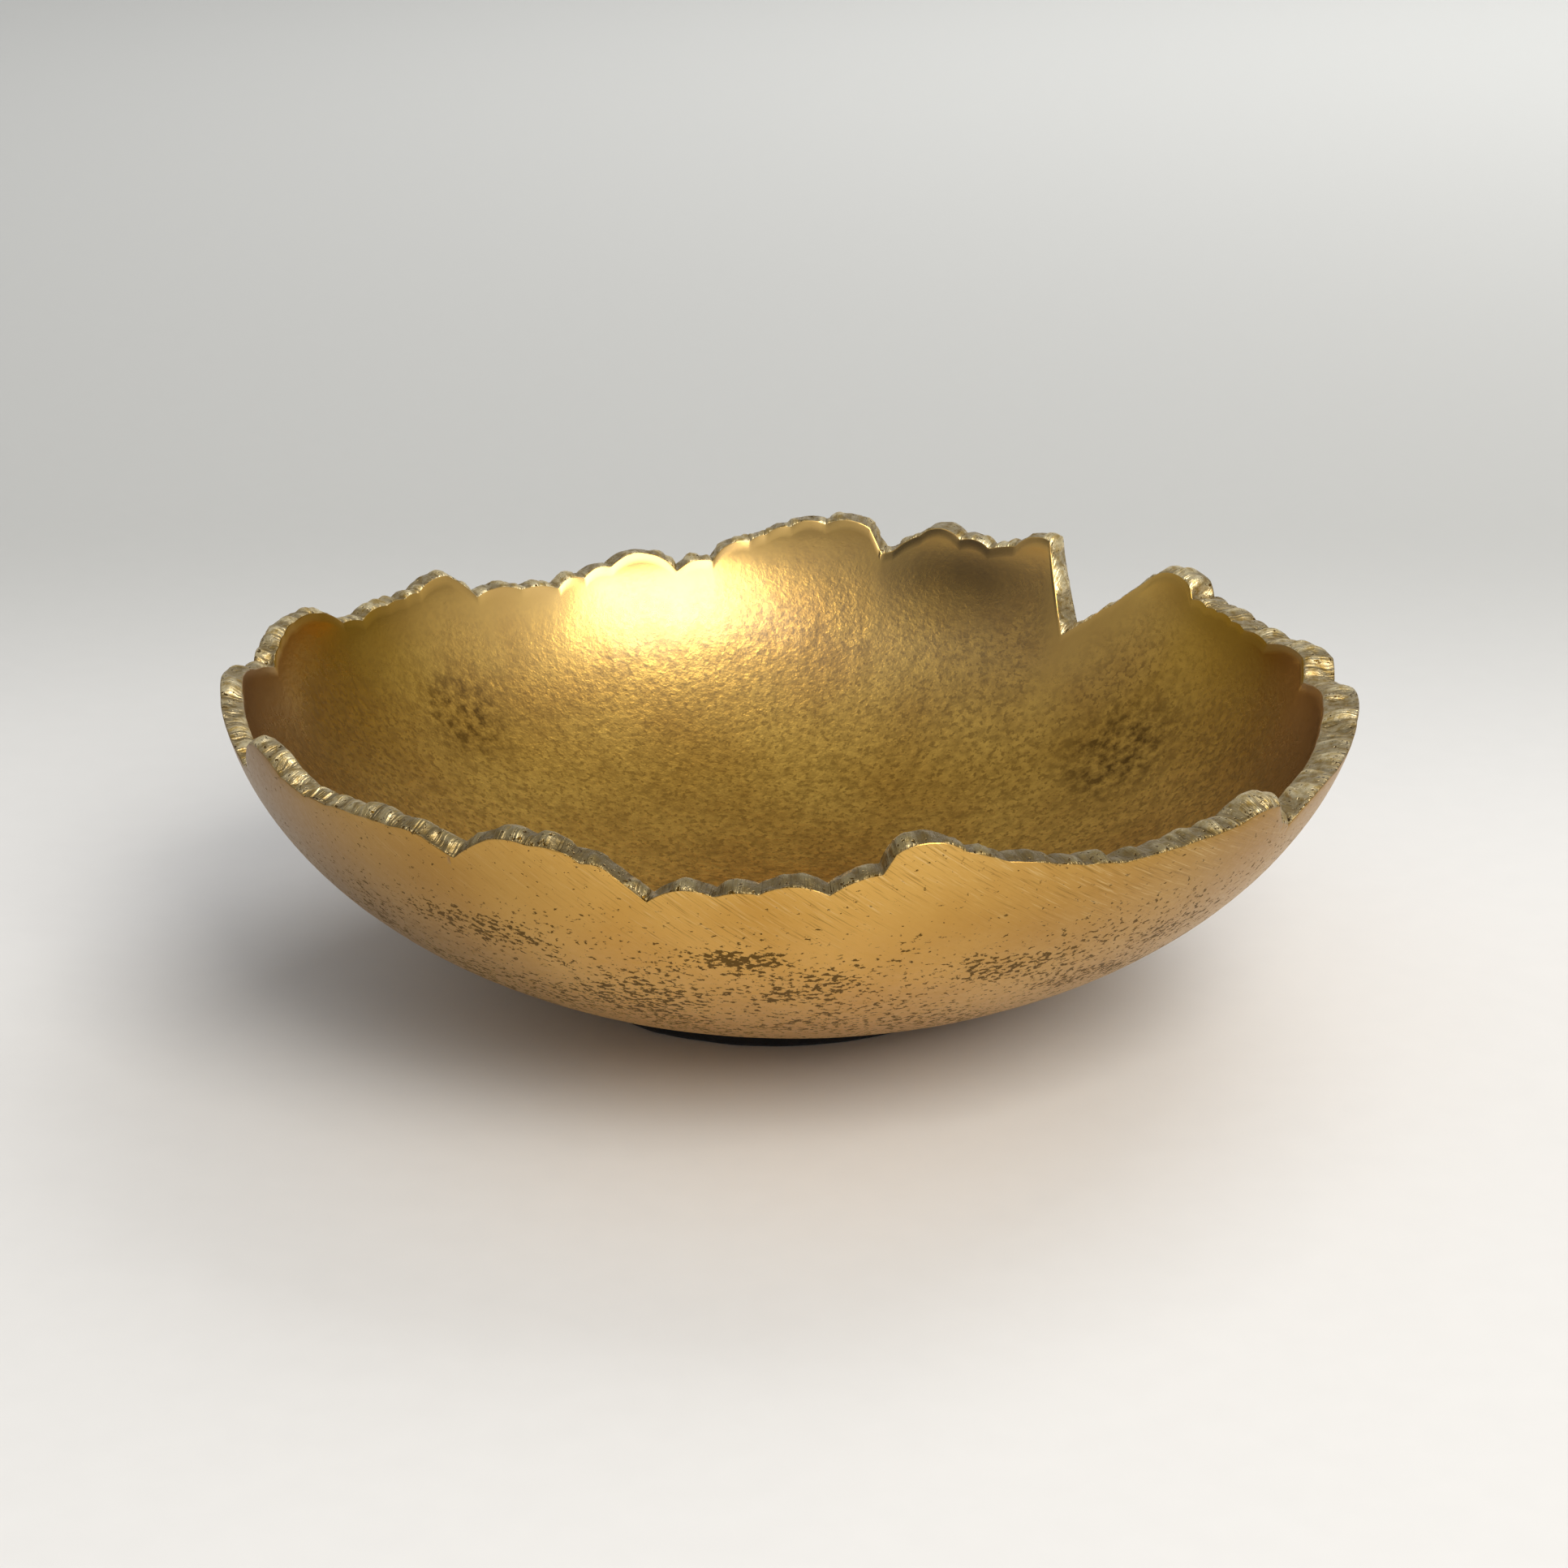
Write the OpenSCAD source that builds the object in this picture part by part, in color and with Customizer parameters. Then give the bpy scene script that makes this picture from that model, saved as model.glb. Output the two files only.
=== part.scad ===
// Cast brass bowl with a torn, scalloped rim, standing on a felt pad.
// The origin is on the table under the middle of the bowl, +Z is up and -Y is the front.

/* [Bowl] */
// Outside diameter at the mean height of the rim
bowl_d = 300; // [240:5:380]
// Height above the table where the round of the wall would turn upright
round_top = 96; // [95:1:120]
// Height above the table where the round of the wall would meet the axis plane
round_base = 3; // [2:0.5:3.5]
// Radius of the disc from which the round of the wall springs
spring_r = 36.4; // [30:0.2:42]
// Mean wall thickness
wall = 7.2; // [6:0.2:9]
// How far the hollow is cast off centre, which thins the wall on one side
core_shift = 1.6; // [0:0.1:2.5]
// Direction of that shift, in degrees from +X
core_shift_dir = 200; // [0:5:355]

/* [Rim] */
// How much higher the inner edge of the rim stands than the outer edge, where a rim point doesn't say
usual_rise = 1; // [0:0.1:1.5]
// Longest step along the curved stretches of the rim
rim_step = 1.5; // [1.5:0.5:4]

/* [Pad] */
// Diameter of the felt pad
pad_d = 114; // [110:1:124]
// Thickness of the felt pad
pad_t = 4.3; // [3.5:0.1:5]
// How far the pad was stuck off centre, along X
pad_shift = -4; // [-6:0.5:6]
// Diameter of the adhesive film
film_d = 86; // [60:1:88]
// Thickness of the adhesive film
film_t = 0.2; // [0.1:0.1:0.4]

/* [Hidden] */

// Share of the diameter that the wall reaches at the mean rim, against its widest
rim_share = 0.9893;
widest_r = bowl_d / 2 / rim_share;
// Power of the superellipse that the wall follows
round_power = 0.6;
flat_z = pad_t + film_t;
// Reach of the ring that cuts the rim, and how far it clears both edges
cutter_top = 130;
cutter_r = 170;
cutter_hole_r = 100;
edge_gap = 1;
wall_steps = 28;
// Length along the rim that one degree spans
degree_arc = bowl_d * PI / 360;

// The rim as it was torn, once round from the right, as the points where its stretches meet.
// Each row has the outer edge's direction in degrees from +X, its height above the table and
// how far its stretch to the next point bulges. A row may go on with the inner edge there: how
// much higher it is, how far its stretch bulges, and how many degrees further round it lies.
rim = [
    [6.0, 76.4, 0.2, 0.5, 0.2],
    [8.6, 81.3, 1.2, 0.6, 1.2],
    [18.4, 78.0, 0.8],
    [24.0, 78.3, 0.6],
    [26.8, 79.0, 0.8],
    [29.8, 79.8, 0.6],
    [31.8, 79.9, 0.9],
    [34.6, 81.1, 0.2, 0.5, 0.2],
    [35.7, 85.2, 1.8, 0.2, 1.8],
    [41.3, 84.4, 0.0],
    [43.5, 79.8, 0.2],
    [46.8, 72.8, 0.5],
    [49.4, 68.0, 0.3],
    [52.6, 63.2, -1.4, 0.0, -1.4],
    [57.0, 88.0, 2.0, 0.6, 2.0],
    [61.6, 84.6, 0.2],
    [65.0, 83.0, 1.3],
    [68.8, 85.5, 3.4, 0.0, 2.8],
    [74.0, 84.8, 0.5],
    [77.2, 79.8, 0.0],
    [78.6, 79.2, 0.0, 0.5, 0.0],
    [80.2, 86.8, 2.0, 0.2, 1.9],
    [85.7, 87.4, 1.7, 0.4, 1.6],
    [90.0, 86.0, 0.9],
    [93.0, 83.7, 0.5],
    [95.0, 81.8, 2.1],
    [99.8, 76.2, 1.6],
    [104.3, 74.0, 4.6],
    [112.7, 76.8, 1.3],
    [116.3, 74.5, 1.4],
    [120.0, 72.6, 0.8],
    [125.0, 73.9, 1.7],
    [131.3, 74.1, 0.6],
    [135.0, 82.0, 1.2],
    [139.7, 79.2, 0.6],
    [142.0, 78.7, 0.5],
    [145.0, 78.5, 1.0],
    [149.8, 76.9, 0.5],
    [153.3, 78.3, 1.0],
    [157.5, 83.8, 0.8],
    [163.0, 84.8, 0.7],
    [166.0, 83.4, 0.5],
    [168.0, 82.0, 0.8, 0.5, 0.8],
    [170.8, 78.8, 0.2, 0.0, 0.2],
    [176.6, 82.6, 0.6, 0.0, 0.6],
    [183.3, 85.8, 0.5, 0.0, 0.5],
    [187.8, 84.0, 0.6, -1.5, 0.6],
    [193.0, 82.0, 0.6, -1.5, 0.6],
    [198.0, 79.5, 0.5, -1.5, 0.5],
    [201.2, 76.4, 0.3, -1.0, 0.3],
    [203.5, 76.6, 0.0, 4.0, 0.2, -1.0],
    [205.6, 83.2, 0.3, 3.0, 0.4],
    [207.6, 87.2, 0.7, 1.0, 0.8],
    [211.5, 86.8, 0.3, 1.6, 0.5, 1.0],
    [214.2, 83.4, 0.2, 1.7, 0.4, 1.0],
    [218.5, 81.5, 0.6, 1.0, 0.3],
    [222.0, 81.8, 0.4, 1.2, 0.5],
    [226.0, 82.4, 0.0, 0.8, 2.1],
    [231.0, 82.3, 0.6, 1.3, 0.6],
    [235.0, 82.0, 0.0, 1.1, 0.0],
    [238.2, 78.0, 0.4, 2.6, 0.2, 0.6],
    [242.5, 85.2, 0.5, 1.8, 1.1],
    [246.2, 85.2, 0.4, 1.4, 1.8],
    [250.0, 84.6, 0.0, -0.2, 0.0],
    [251.4, 82.3, 0.2, 2.0, 0.6],
    [253.2, 82.2, 0.2, -0.4, 0.2],
    [257.0, 73.7, 2.5, 0.2, 2.8],
    [263.0, 76.4, 0.6, 0.0, 1.7],
    [267.0, 77.3, 2.3, 0.4, 2.6],
    [273.2, 77.0, 0.9, 0.8, 1.3],
    [277.8, 82.2, 0.0, 0.4, 0.4],
    [278.9, 87.2, 2.6, 1.2, 3.4],
    [285.0, 87.0, 0.0, -1.4, 0.9],
    [289.0, 83.2, 0.1, -0.6, 1.5],
    [294.0, 80.4, 0.1, -0.4, 0.6],
    [296.7, 79.0, 0.1, -0.2, 1.2],
    [301.0, 77.4, 0.0, -1.2, 1.2],
    [304.8, 77.6, 0.0, -1.0, 0.8],
    [307.8, 77.8, 0.0, -1.0, 1.5],
    [312.0, 78.0, 0.0, -0.5, 1.0],
    [315.5, 78.2, 0.8, 0.0, 3.6],
    [322.0, 78.4, 0.0, 0.6, 0.0, 2.0],
    [324.2, 71.8, 0.0, 1.8, 0.0, 4.3],
    [326.0, 69.9, 0.6, 1.4, 0.6, 5.0],
    [332.0, 75.4, 0.5, -1.6, 0.6, 2.5],
    [337.0, 76.2, 0.4, -2.6, 0.6, 1.5],
    [341.5, 76.6, 0.4, -2.6, 0.6, 1.0],
    [346.0, 77.4, 0.5, -2.3, 0.6],
    [350.0, 79.2, 0.6, -2.3, 0.6],
    [354.5, 81.4, 0.4, -2.0, 0.4],
    [359.0, 80.5, 0.2, -0.6, 0.2],
];

// Radius of the outside of the wall at height z
function outer_r(z) =
    let (rise = (round_top - z) / (round_top - round_base))
    spring_r + (widest_r - spring_r) * pow(1 - rise * rise, round_power);

// How fast that radius grows with height
function flare(z) =
    let (dz = 0.01)
    (outer_r(z + dz) - outer_r(z - dz)) / (2 * dz);

// Heights up the wall, closer together near the base where it turns fastest
function wall_z(i) = flat_z + (round_top - flat_z - 0.1) * pow(i / wall_steps, 1.8);

// Point of the hollow, one wall thickness in from the outside at height z
function core_point(z) =
    let (k = sqrt(1 + flare(z) * flare(z)))
    [outer_r(z) - wall / k, z + wall * flare(z) / k];

// Point at the share s of an arc of the given bulge from p to q, each a direction and a height
function arc_point(p, q, bulge, s) =
    let (run = (q[0] - p[0]) * degree_arc)
    let (rise = q[1] - p[1])
    let (chord = norm([run, rise]))
    let (half = 2 * atan(2 * bulge / chord))
    let (turn = half * (2 * s - 1))
    let (along = half == 0 ? s : (sin(turn) / sin(half) + 1) / 2)
    let (lift = half == 0 ? 0 : (cos(turn) - cos(half)) / sin(half) / 2)
    [p[0] + (along * run - lift * rise) / degree_arc, p[1] + along * rise + lift * run];

// The two edges at a rim point, each a direction and a height
function outer_edge(p) = [p[0], p[1]];
function inner_edge(p) = [p[0] + (len(p) > 5 ? p[5] : 0), p[1] + (len(p) > 3 ? p[3] : usual_rise)];
function inner_bulge(p) = len(p) > 4 ? p[4] : p[2];

// Steps along a stretch, by its length in millimetres
function stretch_steps(p, q) =
    p[2] == 0 && inner_bulge(p) == 0 ? 1 : ceil(norm([(q[0] - p[0]) * degree_arc, q[1] - p[1]]) / rim_step);

// The point after point i, where the first comes again a whole turn on
function next_point(i) =
    i < len(rim) - 1 ? rim[i + 1] : concat(rim[0][0] + 360, [for (k = [1 : 4]) rim[0][k]]);

// The whole rim as short steps, each with its outer and its inner edge
rim_line = [
    for (i = [0 : len(rim) - 1])
        let (p = rim[i], q = next_point(i), steps = stretch_steps(p, q))
        for (j = [0 : steps - 1])
            [
                arc_point(outer_edge(p), outer_edge(q), p[2], j / steps),
                arc_point(inner_edge(p), inner_edge(q), inner_bulge(p), j / steps)
            ]
];

// Point in a direction, at a radius and a height
function around(dir, r, z) = [r * cos(dir), r * sin(dir), z];

// Radius of the hollow in a direction, at height z, where the wall leans out by its flare
function hollow_r(dir, z) =
    outer_r(z) - wall * sqrt(1 + flare(z) * flare(z)) + core_shift * cos(dir - core_shift_dir);

module bowl_round() {
    rotate_extrude($fn = 240)
        polygon(concat(
            [[0, flat_z]],
            [for (i = [0 : wall_steps]) [outer_r(wall_z(i)), wall_z(i)]],
            [[0, wall_z(wall_steps)]]
        ));
}

module hollow() {
    floor_z = core_point(flat_z)[1];
    translate(core_shift * [cos(core_shift_dir), sin(core_shift_dir), 0])
        rotate_extrude($fn = 240)
            polygon(concat(
                [[0, floor_z]],
                [for (i = [0 : wall_steps]) core_point(wall_z(i))],
                [[core_point(wall_z(wall_steps))[0], cutter_top]],
                [[0, cutter_top]]
            ));
}

// Everything above the torn rim, as a ring whose lower band runs from edge to edge
module above_rim() {
    n = len(rim_line);
    low_out = [for (e = rim_line) around(e[0][0], outer_r(e[0][1]) + edge_gap, e[0][1])];
    high_out = [for (e = rim_line) around(e[0][0], cutter_r, cutter_top)];
    high_in = [for (e = rim_line) around(e[1][0], cutter_hole_r, cutter_top)];
    low_in = [for (e = rim_line) around(e[1][0], hollow_r(e[1][0], e[1][1]) - edge_gap, e[1][1])];
    faces = [
        for (ring = [0 : 3], i = [0 : n - 1])
            let (a = ring * n + i, b = (ring + 1) % 4 * n + i)
            let (next_a = ring * n + (i + 1) % n, next_b = (ring + 1) % 4 * n + (i + 1) % n)
            for (face = [[a, b, next_b], [a, next_b, next_a]])
                face
    ];
    polyhedron(concat(low_out, high_out, high_in, low_in), faces);
}

module bowl_casting() {
    color("darkgoldenrod")
        difference() {
            bowl_round();
            hollow();
            above_rim();
        }
}

module pad_adhesive() {
    color("whitesmoke")
        translate([pad_shift, 0, pad_t])
            cylinder(d = film_d, h = film_t, $fn = 96);
}

module felt_pad() {
    color("black")
        translate([pad_shift, 0, 0])
            cylinder(d = pad_d, h = pad_t, $fn = 120);
}

bowl_casting();
pad_adhesive();
felt_pad();
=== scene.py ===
import math

import bmesh
import bpy
import numpy as np
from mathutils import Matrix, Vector


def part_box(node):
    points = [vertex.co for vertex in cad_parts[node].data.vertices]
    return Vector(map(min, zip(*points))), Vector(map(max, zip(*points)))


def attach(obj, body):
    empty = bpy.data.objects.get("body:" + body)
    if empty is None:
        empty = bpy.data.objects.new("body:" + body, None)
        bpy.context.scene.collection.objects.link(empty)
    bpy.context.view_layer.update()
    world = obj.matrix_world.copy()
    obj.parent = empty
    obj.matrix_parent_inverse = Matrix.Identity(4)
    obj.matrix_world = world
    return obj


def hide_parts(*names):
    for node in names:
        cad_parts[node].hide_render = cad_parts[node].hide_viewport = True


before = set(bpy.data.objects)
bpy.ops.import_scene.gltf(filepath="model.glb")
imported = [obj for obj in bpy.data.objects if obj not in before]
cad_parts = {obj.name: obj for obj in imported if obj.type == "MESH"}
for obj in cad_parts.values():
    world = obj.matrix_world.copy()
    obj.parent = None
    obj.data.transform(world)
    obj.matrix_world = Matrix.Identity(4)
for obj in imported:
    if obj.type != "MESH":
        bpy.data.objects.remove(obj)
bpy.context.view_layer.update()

bl_info = {
    "name": "Torn Rim Bowl",
    "version": (1, 0, 0),
    "blender": (4, 5, 0),
    "location": "3D View > Sidebar > Torn Rim Bowl",
    "description": "Builds a cast brass bowl with a torn rim, its felt pad and a small studio",
    "category": "Add Mesh",
}


# how near a point of the CAD casting lies to a surface that it is on
TOUCHING = 0.00012
# the outer and inner edges of the rim are rounded over by this much
LIP = 0.0006
# how far below the rim the flat under the bowl and the floor of the hollow count as being
FAR_BELOW = 0.09


def linear(colour):
    """An sRGB hex colour as linear red, green, blue and alpha."""
    shares = [int(colour[i : i + 2], 16) / 255 for i in (1, 3, 5)]
    return tuple(s / 12.92 if s <= 0.04045 else ((s + 0.055) / 1.055) ** 2.4 for s in shares) + (1.0,)


LENGTH = {"subtype": "DISTANCE", "unit": "LENGTH"}
ANGLE = {"subtype": "ANGLE", "unit": "ROTATION"}
COLOUR = {"subtype": "COLOR", "size": 4}


class TornBowlShape(bpy.types.PropertyGroup):
    """The round of the bowl and the relief of its casting."""

    rim_width: bpy.props.FloatProperty(
        name="Rim width", description="Outside diameter at the mean height of the rim",
        default=0.3, **LENGTH,
    )
    rim_share: bpy.props.FloatProperty(
        name="Rim share", description="Share of the widest diameter that the wall reaches at the rim",
        default=0.9893, subtype="FACTOR",
    )
    round_top: bpy.props.FloatProperty(
        name="Round top", description="Height where the round of the wall would turn upright",
        default=0.096, **LENGTH,
    )
    round_base: bpy.props.FloatProperty(
        name="Round base",
        description="Height where the round of the wall would meet the disc that it springs from",
        default=0.003,
        **LENGTH,
    )
    spring_radius: bpy.props.FloatProperty(
        name="Spring radius", description="Radius of the disc that the round of the wall springs from",
        default=0.0364, **LENGTH,
    )
    round_power: bpy.props.FloatProperty(
        name="Round power", description="Power of the superellipse that the wall follows", default=0.6
    )
    wall: bpy.props.FloatProperty(
        name="Wall", description="Mean thickness of the wall", default=0.0072, **LENGTH
    )
    core_shift: bpy.props.FloatProperty(
        name="Core shift", description="How far the hollow lies off the axis", default=0.0016, **LENGTH
    )
    core_shift_dir: bpy.props.FloatProperty(
        name="Core shift direction", description="Direction of that shift, from the right",
        default=math.radians(200), **ANGLE,
    )
    floor_dish: bpy.props.FloatProperty(
        name="Floor dish",
        description="How far the floor of the hollow dips, which rounds it into the wall",
        default=0.0016,
        **LENGTH,
    )
    columns: bpy.props.IntProperty(
        name="Columns", description="Steps of the mesh along the rim", default=1150
    )
    swell: bpy.props.FloatProperty(
        name="Swell", description="Height of the slow swell that the mould leaves in the walls",
        default=0.0005, **LENGTH,
    )
    swell_size: bpy.props.FloatProperty(
        name="Swell size", description="Width of that swell", default=0.03, **LENGTH
    )
    dimple: bpy.props.FloatProperty(
        name="Cast dimples", description="Depth of the sand-cast dimples inside the bowl",
        default=0.0004, **LENGTH,
    )
    dimple_size: bpy.props.FloatProperty(
        name="Dimple size", description="Width of those dimples", default=0.008, **LENGTH
    )
    crown: bpy.props.FloatProperty(
        name="Rim crown", description="How far the torn face of the rim bulges between its edges",
        default=0.0009, **LENGTH,
    )
    ridge: bpy.props.FloatProperty(
        name="Rim ridges", description="Height of the ridges that run across the torn face",
        default=0.0018, **LENGTH,
    )
    ridge_size: bpy.props.FloatProperty(
        name="Ridge spacing", description="Distance along the rim from ridge to ridge",
        default=0.0032, **LENGTH,
    )
    knuckle: bpy.props.FloatProperty(
        name="Rim knuckles", description="Height of the round knuckles that the tear breaks into",
        default=0.0034, **LENGTH,
    )
    knuckle_size: bpy.props.FloatProperty(
        name="Knuckle spacing", description="Distance along the rim from knuckle to knuckle",
        default=0.0068, **LENGTH,
    )
    seed: bpy.props.FloatProperty(
        name="Seed", description="Picks another run of the same relief", default=4.0
    )


class TornBowlFinish(bpy.types.PropertyGroup):
    """The colours of the metals, the felt and the film."""

    brass: bpy.props.FloatVectorProperty(
        name="Brass", description="Clean cast brass", default=linear("#E4B562"), **COLOUR
    )
    deep_brass: bpy.props.FloatVectorProperty(
        name="Deep brass", description="Brass where its lacquer lies thicker and browner",
        default=linear("#D3A14F"), **COLOUR,
    )
    hollow_brass: bpy.props.FloatVectorProperty(
        name="Hollow brass", description="Brass inside the bowl, under a thicker and yellower lacquer",
        default=linear("#D9AE51"), **COLOUR,
    )
    # dark patina, also laid on as painted shade in the rim's cusps, creases and outer edge and as painted
    # dark reflections inside the bowl
    tarnish_and_shade: bpy.props.FloatVectorProperty(
        name="Tarnish", description="Dark patina that stays in pits and pores",
        default=linear("#644A1C"), **COLOUR,
    )
    torn_metal: bpy.props.FloatVectorProperty(
        name="Torn face", description="Paler bare metal of the torn rim",
        default=linear("#FBE9BA"), **COLOUR,
    )
    felt: bpy.props.FloatVectorProperty(
        name="Felt", description="Black wool felt", default=linear("#0C0B0C"), **COLOUR
    )
    film: bpy.props.FloatVectorProperty(
        name="Film", description="Milky acrylic adhesive film", default=linear("#D9D6CB"), **COLOUR
    )


class TornBowlStudio(bpy.types.PropertyGroup):
    """The camera, the floor and the lights."""

    camera_distance: bpy.props.FloatProperty(
        name="Camera distance", description="From the camera to the point that it looks at",
        default=0.9, **LENGTH,
    )
    camera_height: bpy.props.FloatProperty(
        name="Camera elevation", description="How steeply the camera looks down",
        default=math.radians(19), **ANGLE,
    )
    aim: bpy.props.FloatVectorProperty(
        name="Aim", description="The point that the camera looks at", default=(-0.002, 0, 0.0526),
        subtype="TRANSLATION", unit="LENGTH",
    )
    lens: bpy.props.FloatProperty(
        name="Lens", description="Focal length in millimetres on a 36 mm sensor", default=36 * 4114 / 1932
    )
    paper: bpy.props.FloatVectorProperty(
        name="Paper", description="The matt floor", default=linear("#DBDAD8"), **COLOUR
    )
    far_paper: bpy.props.FloatVectorProperty(
        name="Far paper", description="The floor's shaded stretch behind the bowl",
        default=linear("#B2B2AF"), **COLOUR,
    )
    window_side: bpy.props.FloatProperty(
        name="Window side", description="Where the window stands, counted from the right",
        default=math.radians(-57), **ANGLE,
    )
    window_height: bpy.props.FloatProperty(
        name="Window height", description="How high the window stands, seen from the bowl",
        default=math.radians(44), **ANGLE,
    )
    window_power: bpy.props.FloatProperty(
        name="Window light",
        description="Power of the big soft window at the front right, in watts",
        default=36.5,
    )
    far_power: bpy.props.FloatProperty(
        name="Far floor light",
        description="Power of the light over the floor behind the bowl, in watts",
        default=57.0,
    )
    room: bpy.props.FloatProperty(
        name="Room light", description="Strength of the room's light away from the window", default=0.41
    )
    glow: bpy.props.FloatProperty(
        name="Window glow", description="Strength of the room's light round the window", default=0.82
    )


# Sockets are named by place where their names are long. On a Map Range 0 is the value, 1 and 2 are
# where it comes from, and 3 and 4 where it goes to. On a colour Mix 0 is the factor, 6 and 7 the colours.
def add(tree, kind, inputs=(), out=0, **settings):
    """Adds a node, sets it, links or fills its inputs, and returns one output or, for None, all of them."""
    node = tree.nodes.new(kind)
    for name, value in settings.items():
        setattr(node, name, value)
    for key, value in dict(inputs).items():
        if isinstance(value, bpy.types.NodeSocket):
            tree.links.new(value, node.inputs[key])
        else:
            node.inputs[key].default_value = value
    return node.outputs if out is None else node.outputs[out]


def new_material(name):
    """A material, its empty tree and the place of each point, which its patterns lie on."""
    material = bpy.data.materials.new(name)
    material.use_nodes = True
    material.node_tree.nodes.clear()
    return material, material.node_tree, add(material.node_tree, "ShaderNodeTexCoord", out="Object")


def finished(material, colour, roughness, relief, **even):
    """The material with one shader, whose own sockets take the values that are even.

    The relief is laid on in steps of strength, depth in metres, pattern and whether the pattern is sunk.
    """
    tree = material.node_tree
    so_far = {}
    for strength, depth, pattern, sunk in relief:
        step = {"Strength": strength, "Distance": depth, "Height": pattern, **so_far}
        so_far = {"Normal": add(tree, "ShaderNodeBump", step, invert=sunk)}
    sockets = {"Base Color": colour, "Roughness": roughness, **so_far}
    sockets.update({name.replace("_", " "): value for name, value in even.items()})
    shader = add(tree, "ShaderNodeBsdfPrincipled", sockets)
    add(tree, "ShaderNodeOutputMaterial", {"Surface": shader}, None)
    return material


def new_piece(name, mesh, body="root"):
    piece = bpy.data.objects.new(name, mesh)
    bpy.context.scene.collection.objects.link(piece)
    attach(piece, body)
    return piece


# ------------------------ the torn rim


def outer_radius(shape, z):
    """Radius of the outside of the wall at height z."""
    widest = shape.rim_width / 2 / shape.rim_share
    rise = (shape.round_top - z) / (shape.round_top - shape.round_base)
    return shape.spring_radius + (widest - shape.spring_radius) * (1 - rise**2).clip(0) ** shape.round_power


def hollow_profile(shape, base):
    """Heights up the outside of the wall, and the radius and height of the hollow one wall in from each."""
    z = np.linspace(base, shape.round_top - 0.0001, 3000)
    flare = np.gradient(outer_radius(shape, z), z)
    lean = np.sqrt(1 + flare**2)
    return z, outer_radius(shape, z) - shape.wall / lean, z + shape.wall * flare / lean


def core_offset(shape):
    return shape.core_shift * np.array([math.cos(shape.core_shift_dir), math.sin(shape.core_shift_dir)])


def torn_rim(shape, casting):
    """The rim of the CAD casting, once round, as lines across it from the outer to the inner edge.

    Returns rows of outer direction, outer height, inner direction and inner height. The casting's
    faces on the wall, in the hollow and on the tear are told apart by where they lie and face, and
    each edge between two faces of the tear that runs right across it is one line.
    """
    mesh = casting.data
    corners = np.zeros(len(mesh.vertices) * 3, np.float32)
    mesh.vertices.foreach_get("co", corners)
    mesh.calc_loop_triangles()
    faces = np.zeros(len(mesh.loop_triangles) * 3, np.int32)
    mesh.loop_triangles.foreach_get("vertices", faces)
    points, same = np.unique(corners.reshape(-1, 3).astype(float).round(6), axis=0, return_inverse=True)
    faces = same.ravel()[faces.reshape(-1, 3)]
    faces = faces[(faces != np.roll(faces, 1, axis=1)).all(1)]

    base = points[:, 2].min()
    _, hollow_r, hollow_z = hollow_profile(shape, base)
    offset = core_offset(shape)
    x, y, z = points.T
    from_core = np.hypot(x - offset[0], y - offset[1])
    on_wall = abs(np.hypot(x, y) - outer_radius(shape, z)) < TOUCHING
    in_hollow = abs(from_core - np.interp(z, hollow_z, hollow_r)) < TOUCHING
    a, b, c = (points[faces[:, i]] for i in range(3))
    middle, normal = (a + b + c) / 3, np.cross(b - a, c - a)
    normal /= np.linalg.norm(normal, axis=1)[:, None] + 1e-15
    away = (normal[:, :2] * middle[:, :2]).sum(1) / np.hypot(*middle[:, :2].T)
    wall_face = on_wall[faces].all(1) & (away > 0.3)
    hollow_face = in_hollow[faces].all(1) & (away < -0.3)
    torn_face = ~wall_face & ~hollow_face & (middle[:, 2] > 0.6 * shape.round_top)
    kind = np.select([wall_face, hollow_face, torn_face], [1, 2, 4], 0)

    edges = np.sort(np.vstack([faces[:, [0, 1]], faces[:, [1, 2]], faces[:, [2, 0]]]), axis=1)
    kinds = np.tile(kind, 3)
    order = np.lexsort((edges[:, 1], edges[:, 0]))
    edges, kinds = edges[order], kinds[order]
    twin = np.nonzero((edges[1:] == edges[:-1]).all(1))[0]
    edges, meeting = edges[twin], kinds[twin] + kinds[twin + 1]
    outer = np.isin(np.arange(len(points)), edges[meeting == 5])
    inner = np.isin(np.arange(len(points)), edges[meeting == 6])
    p, q = edges[meeting == 8].T
    across = (outer[p] & inner[q]) | (outer[q] & inner[p])
    p, q = p[across], q[across]
    out_end, in_end = np.where(outer[p], p, q), np.where(outer[p], q, p)

    turn = 2 * math.pi
    out_dir = np.arctan2(y[out_end], x[out_end]) % turn
    in_dir = np.arctan2(y[in_end] - offset[1], x[in_end] - offset[0])
    in_dir = out_dir + (in_dir - out_dir + math.pi) % turn - math.pi
    order = np.argsort(out_dir + in_dir)
    lines = np.stack([out_dir, z[out_end], in_dir, z[in_end]], axis=1)[order]
    lines[:, [0, 2]] = np.maximum.accumulate(lines[:, [0, 2]], axis=0)
    return np.vstack([lines, lines[:1] + [turn, 0, turn, 0]])


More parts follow.
